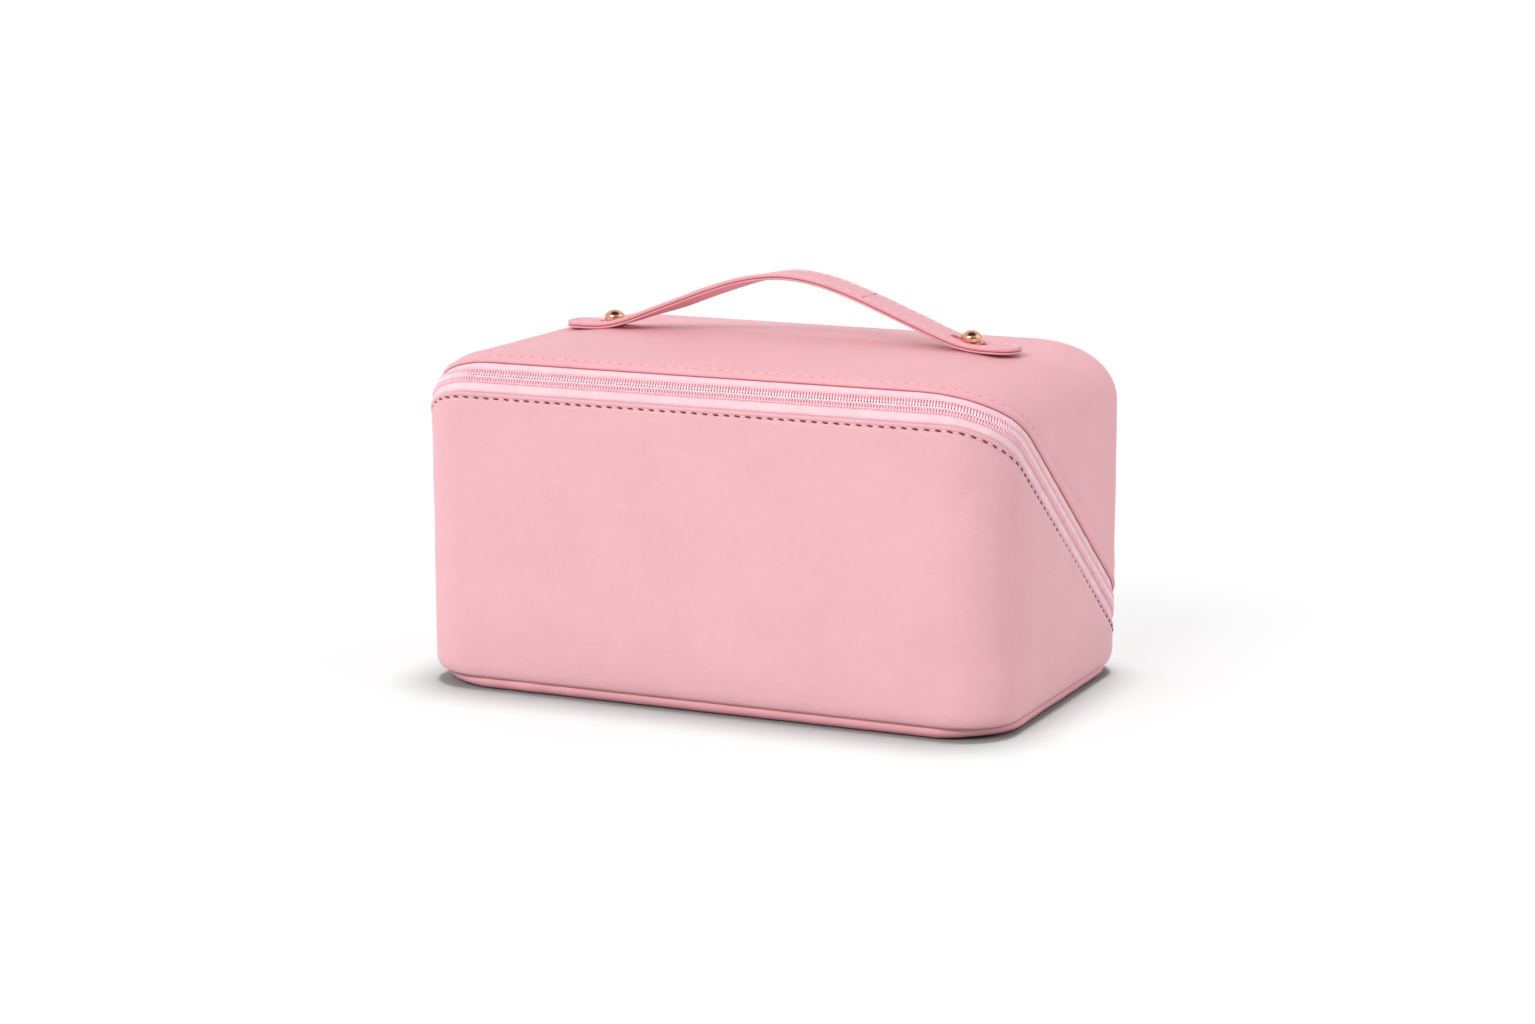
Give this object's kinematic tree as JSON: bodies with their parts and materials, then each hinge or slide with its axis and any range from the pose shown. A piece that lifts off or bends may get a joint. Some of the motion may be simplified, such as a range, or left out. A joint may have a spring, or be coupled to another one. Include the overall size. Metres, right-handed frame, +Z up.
{
  "type": "soft-sided makeup train case",
  "caption": "Soft-sided cosmetics case of padded coated leather that opens along one slanted zip, with a flat strap handle on domed studs.",
  "frame": {"origin": "centre of the flat face that the case stands on", "axes": "+X along the case's length, -Y towards the front wall, +Z up"},
  "size_m": [0.2448, 0.1455, 0.1574],
  "materials": {
    "cover": "satin pink coated leather with a fine wrinkled grain",
    "strap": "satin pink coated leather, two layers stitched near the edges",
    "board": "light grey flexible stiffener sheet",
    "lining": "plain woven polyester lining",
    "binding": "grosgrain binding tape",
    "elastic": "ribbed elastic webbing",
    "mesh": "fine hexagonal mesh",
    "zip_tape": "twill zip tape",
    "zip_coil": "nylon coil",
    "rose_gold": "polished rose-gold plating",
    "steel": "plain zinc-plated steel"
  },
  "bodies": {
    "tray": {"front_cover": "cover", "bottom_cover": "cover", "base_board": "board", "front_board": "board", "lower_end_board_left": "board", "lower_end_board_right": "board", "base_lining": "lining", "lower_zipper_tape": "zip_tape", "lower_zipper_coil": "zip_coil", "lower_zipper_stops": "rose_gold", "rear_fold_hinge": "cover", "mesh_pocket": "mesh", "pocket_elastic": "elastic"},
    "lid": {"lid_cover": "cover", "top_board": "board", "rear_board": "board", "upper_end_board_left": "board", "upper_end_board_right": "board", "lid_lining": "lining", "upper_zipper_tape": "zip_tape", "upper_zipper_coil": "zip_coil", "upper_zipper_stops": "rose_gold", "handle_stud_left": "rose_gold", "handle_stud_right": "rose_gold", "stud_washers": "steel", "brush_band": "elastic", "flap_fold_hinge": "lining"},
    "slider": {"slider_body": "rose_gold", "slider_bridge": "rose_gold"},
    "pull": {"pull_tab": "rose_gold"},
    "flap": {"brush_flap": "lining", "flap_binding": "binding"},
    "divider": {"divider_panel": "lining", "divider_binding": "binding"},
    "handle_left_tab": {"handle_left_tab_bottom": "strap", "handle_left_tab_top": "strap"},
    "handle_left_span": {"handle_left_span_bottom": "strap", "handle_left_span_top": "strap"},
    "handle_right_tab": {"handle_right_tab_bottom": "strap", "handle_right_tab_top": "strap"},
    "handle_right_span": {"handle_right_span_bottom": "strap", "handle_right_span_top": "strap"}
  },
  "joints": [
    {"name": "lid_open", "type": "hinge", "parent": "tray", "child": "lid", "pos_m": [0, 0.0713, 0.01655], "axis": [-1, 0, 0], "range_deg": [0, 96]},
    {"name": "slider_run", "type": "slide", "parent": "tray", "child": "slider", "axis": [0, -0.8, 0.6], "range_m": [0, 0.105]},
    {"name": "pull_swing", "type": "hinge", "parent": "slider", "child": "pull", "pos_m": [-0.1225, 0.04628, 0.03531], "axis": [0, 0.6, 0.8], "range_deg": [0, 170]},
    {"name": "flap_fold", "type": "hinge", "parent": "lid", "child": "flap", "pos_m": [0, 0.0681, 0.0235], "axis": [1, 0, 0], "range_deg": [0, 50]},
    {"name": "divider_slide", "type": "slide", "parent": "tray", "child": "divider", "axis": [1, 0, 0], "range_m": [-0.13, 0.07]},
    {"name": "handle_left_slot", "type": "slide", "parent": "lid", "child": "handle_left_tab", "axis": [-1, 0, 0], "range_m": [-0.0002, 0.005]},
    {"name": "handle_left_bend", "type": "hinge", "parent": "handle_left_tab", "child": "handle_left_span", "pos_m": [-0.067, 0.012, 0.1318], "axis": [0, 1, 0], "range_deg": [0, 12.5], "stiffness_Nm_per_rad": 0.6},
    {"name": "handle_crown_bend", "type": "hinge", "parent": "handle_left_span", "child": "handle_right_span", "pos_m": [0, 0.012, 0.15739], "axis": [0, -1, 0], "range_deg": [-1, 28]},
    {"name": "handle_right_bend", "type": "hinge", "parent": "handle_right_span", "child": "handle_right_tab", "pos_m": [0.067, 0.012, 0.1318], "axis": [0, 1, 0], "range_deg": [-1, 14.5]}
  ],
  "couplings": [
    {"joint": "handle_left_slot", "follows": "handle_left_bend", "m_per_rad": 0.01811},
    {"joint": "handle_crown_bend", "follows": "handle_left_bend", "ratio": 2},
    {"joint": "handle_right_bend", "follows": "handle_left_bend", "ratio": 1}
  ]
}
